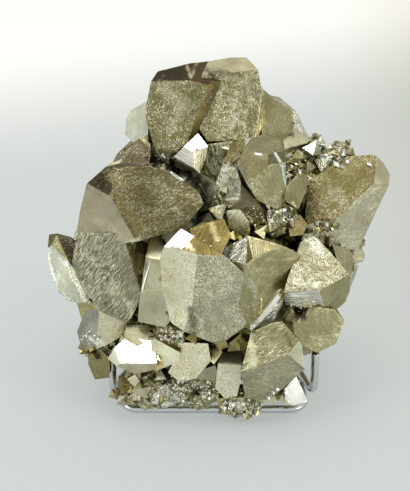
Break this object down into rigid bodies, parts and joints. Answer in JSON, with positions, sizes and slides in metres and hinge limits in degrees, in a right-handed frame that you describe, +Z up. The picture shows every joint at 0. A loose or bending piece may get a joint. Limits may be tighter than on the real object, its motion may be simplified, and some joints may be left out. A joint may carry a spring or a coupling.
{
  "type": "pyrite specimen on a wire stand",
  "caption": "Cluster of intergrown brassy metallic octahedral crystals, leaning back on a small bright bent-wire display stand.",
  "frame": {"origin": "on the table, under the middle of the whole object's bounding box", "axes": "+Z up, -Y towards the front of the specimen, +X to the right seen from the front"},
  "size_m": [0.1712, 0.125, 0.1625],
  "materials": {
    "pyrite": "satin",
    "chrome_wire": "polished"
  },
  "bodies": {
    "root": {"pyrite_cluster": "pyrite", "stand_base": "chrome_wire", "stand_cradle": "chrome_wire"}
  },
  "joints": []
}
